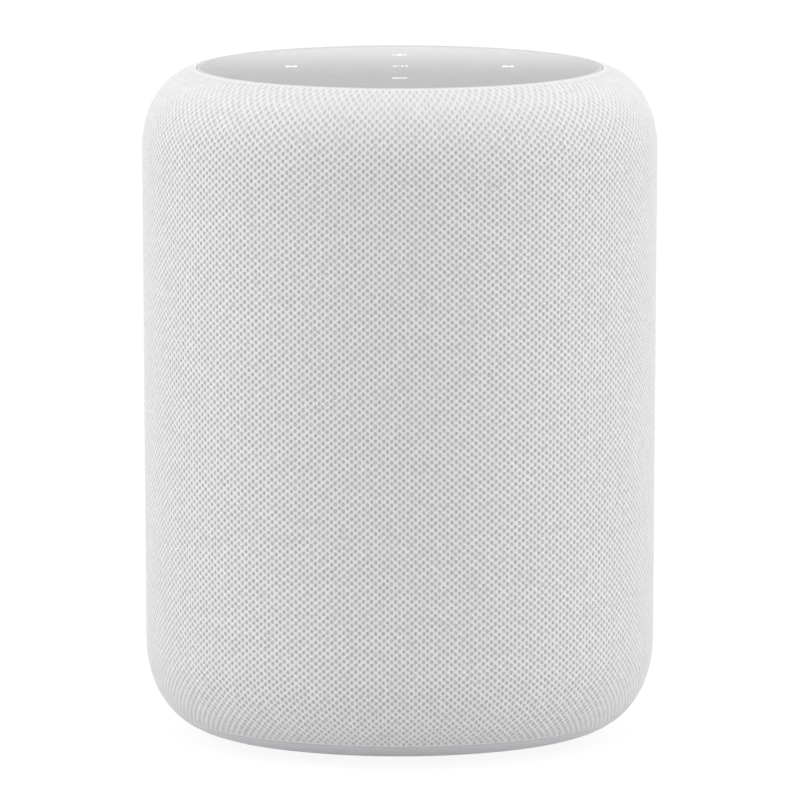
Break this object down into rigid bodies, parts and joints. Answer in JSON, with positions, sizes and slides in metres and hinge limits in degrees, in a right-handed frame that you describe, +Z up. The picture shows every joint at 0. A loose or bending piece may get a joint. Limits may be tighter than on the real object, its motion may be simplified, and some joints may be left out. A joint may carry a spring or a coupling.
{
  "type": "smart speaker",
  "caption": "Cylindrical tabletop speaker in a knitted fabric sleeve, with a flat touch panel on top, rounded base and recessed rear connector panel.",
  "frame": {"origin": "middle of the underside of the foot ring, on the surface that the speaker stands on", "axes": "+Z up along the body's axis, -Y towards the listener, +Y towards the connector panel, +X to the right as seen from the front"},
  "size_m": [0.146, 0.146, 0.191],
  "materials": {
    "knit_fabric": "knitted",
    "grille_plastic": "satin",
    "trim_metal": "satin",
    "panel_plastic": "satin",
    "legend_white": "translucent",
    "black_plastic": "moulded",
    "led_resin": "gloss",
    "circuit_board": "solder mask",
    "plated_metal": "plated",
    "screw_steel": "plated",
    "flex_film": "film",
    "seal_rubber": "matte",
    "wadding_fibre": "loose",
    "motor_steel": "zinc plated",
    "magnet_ferrite": "matte",
    "spider_cloth": "resin dipped",
    "cone_paper": "matte",
    "coil_copper": "enamelled",
    "dome_aluminium": "satin",
    "wire_plastic": "satin",
    "heatsink_aluminium": "extruded",
    "pad_silicone": "matte",
    "base_plastic": "satin",
    "foot_silicone": "matte",
    "transformer_tape": "tape",
    "capacitor_sleeve": "sleeve",
    "button_plastic": "satin"
  },
  "bodies": {
    "cabinet": {"fabric_sleeve": "knit_fabric", "grille_shell": "grille_plastic", "trim_ring": "trim_metal", "touch_panel": "panel_plastic", "touch_legends": "legend_white", "light_shroud": "black_plastic", "touch_leds": "led_resin", "touch_board": "circuit_board", "microphones": "plated_metal", "top_screws": "screw_steel", "top_carrier": "black_plastic", "touch_ribbon": "flex_film", "box_front": "black_plastic", "box_rear": "black_plastic", "box_seal": "seal_rubber", "box_screws": "screw_steel", "acoustic_wadding": "wadding_fibre", "woofer_basket": "black_plastic", "woofer_gasket": "seal_rubber", "woofer_top_plate": "motor_steel", "woofer_magnet": "magnet_ferrite", "woofer_yoke": "motor_steel", "woofer_surround": "seal_rubber", "woofer_spider": "spider_cloth", "woofer_terminals": "plated_metal", "tweeter_faceplates": "black_plastic", "tweeter_cups": "motor_steel", "tweeter_magnets": "magnet_ferrite", "tweeter_left_surround": "seal_rubber", "tweeter_right_surround": "seal_rubber", "driver_screws": "screw_steel", "wiring": "wire_plastic", "main_board": "circuit_board", "main_board_screws": "screw_steel", "shield_cans": "plated_metal", "amplifier_heatsink": "heatsink_aluminium", "thermal_pad": "pad_silicone", "wifi_antennas": "flex_film", "base_tub": "black_plastic", "bottom_cover": "base_plastic", "foot_ring": "foot_silicone", "case_screws": "screw_steel", "power_board": "circuit_board", "power_transformer": "transformer_tape", "power_capacitors": "capacitor_sleeve", "power_board_screws": "screw_steel", "connector_panel": "base_plastic", "mains_inlet": "black_plastic", "mains_pins": "plated_metal", "ethernet_jack": "plated_metal", "ethernet_contacts": "plated_metal", "aux_jack": "black_plastic", "io_board": "circuit_board", "setup_switch": "black_plastic"},
    "woofer_cone_body": {"woofer_cone": "cone_paper", "woofer_dust_cap": "cone_paper", "woofer_voice_coil": "coil_copper"},
    "tweeter_left_body": {"tweeter_left_dome": "dome_aluminium"},
    "tweeter_right_body": {"tweeter_right_dome": "dome_aluminium"},
    "setup_button_body": {"setup_button": "button_plastic"}
  },
  "joints": [
    {"name": "woofer_travel", "type": "slide", "parent": "cabinet", "child": "woofer_cone_body", "axis": [0, -1, 0], "range_m": [-0.004, 0.004], "stiffness_N_per_m": 1200, "deforming": ["woofer_surround", "woofer_spider"]},
    {"name": "tweeter_left_travel", "type": "slide", "parent": "cabinet", "child": "tweeter_left_body", "axis": [-0.6691, -0.7431, 0], "range_m": [-0.0003, 0.0003], "stiffness_N_per_m": 1500, "deforming": ["tweeter_left_surround"]},
    {"name": "tweeter_right_travel", "type": "slide", "parent": "cabinet", "child": "tweeter_right_body", "axis": [0.6691, -0.7431, 0], "range_m": [-0.0003, 0.0003], "stiffness_N_per_m": 1500, "deforming": ["tweeter_right_surround"]},
    {"name": "setup_button_press", "type": "slide", "parent": "cabinet", "child": "setup_button_body", "axis": [0, -1, 0], "range_m": [0, 0.0006], "stiffness_N_per_m": 200, "springref_m": -0.0005}
  ]
}
